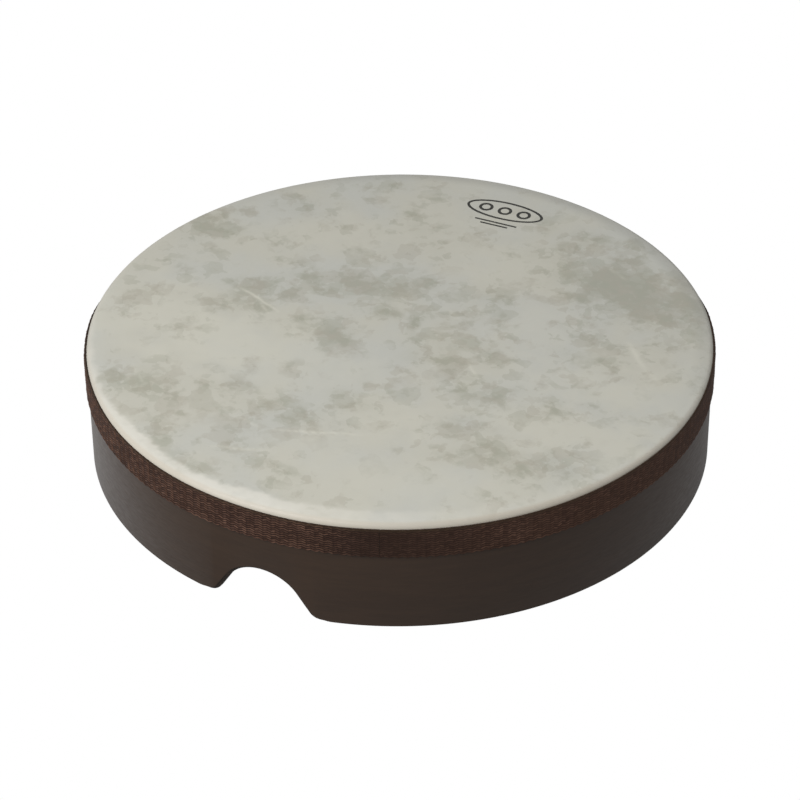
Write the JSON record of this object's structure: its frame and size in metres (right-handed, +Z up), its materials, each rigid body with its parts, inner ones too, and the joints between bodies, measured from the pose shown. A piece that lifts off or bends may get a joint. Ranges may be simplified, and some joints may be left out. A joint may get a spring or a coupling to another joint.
{
  "type": "frame drum",
  "caption": "Shallow round hand frame drum: a film head glued over a hoop shell, bound by a woven tape, with an arched finger notch in the open rim.",
  "frame": {"origin": "centre of the open lower rim, on the plane the drum stands on", "axes": "+Z up from the open rim to the playing face; the finger notch is at -Y"},
  "size_m": [0.3078, 0.3078, 0.06],
  "materials": {
    "shell_fibre": "matte moulded wood fibre",
    "satin_covering": "satin dark brown",
    "lining_paper": "matte brown",
    "white_glue": "dried white glue",
    "drumhead_film": "satin, mottled skin look",
    "woven_tape": "dark brown herringbone weave"
  },
  "bodies": {
    "root": {"shell": "shell_fibre", "outer_covering": "satin_covering", "inner_lining": "lining_paper", "bearing_edge_glue": "white_glue", "drumhead": "drumhead_film", "binding_tape": "woven_tape"}
  },
  "joints": []
}
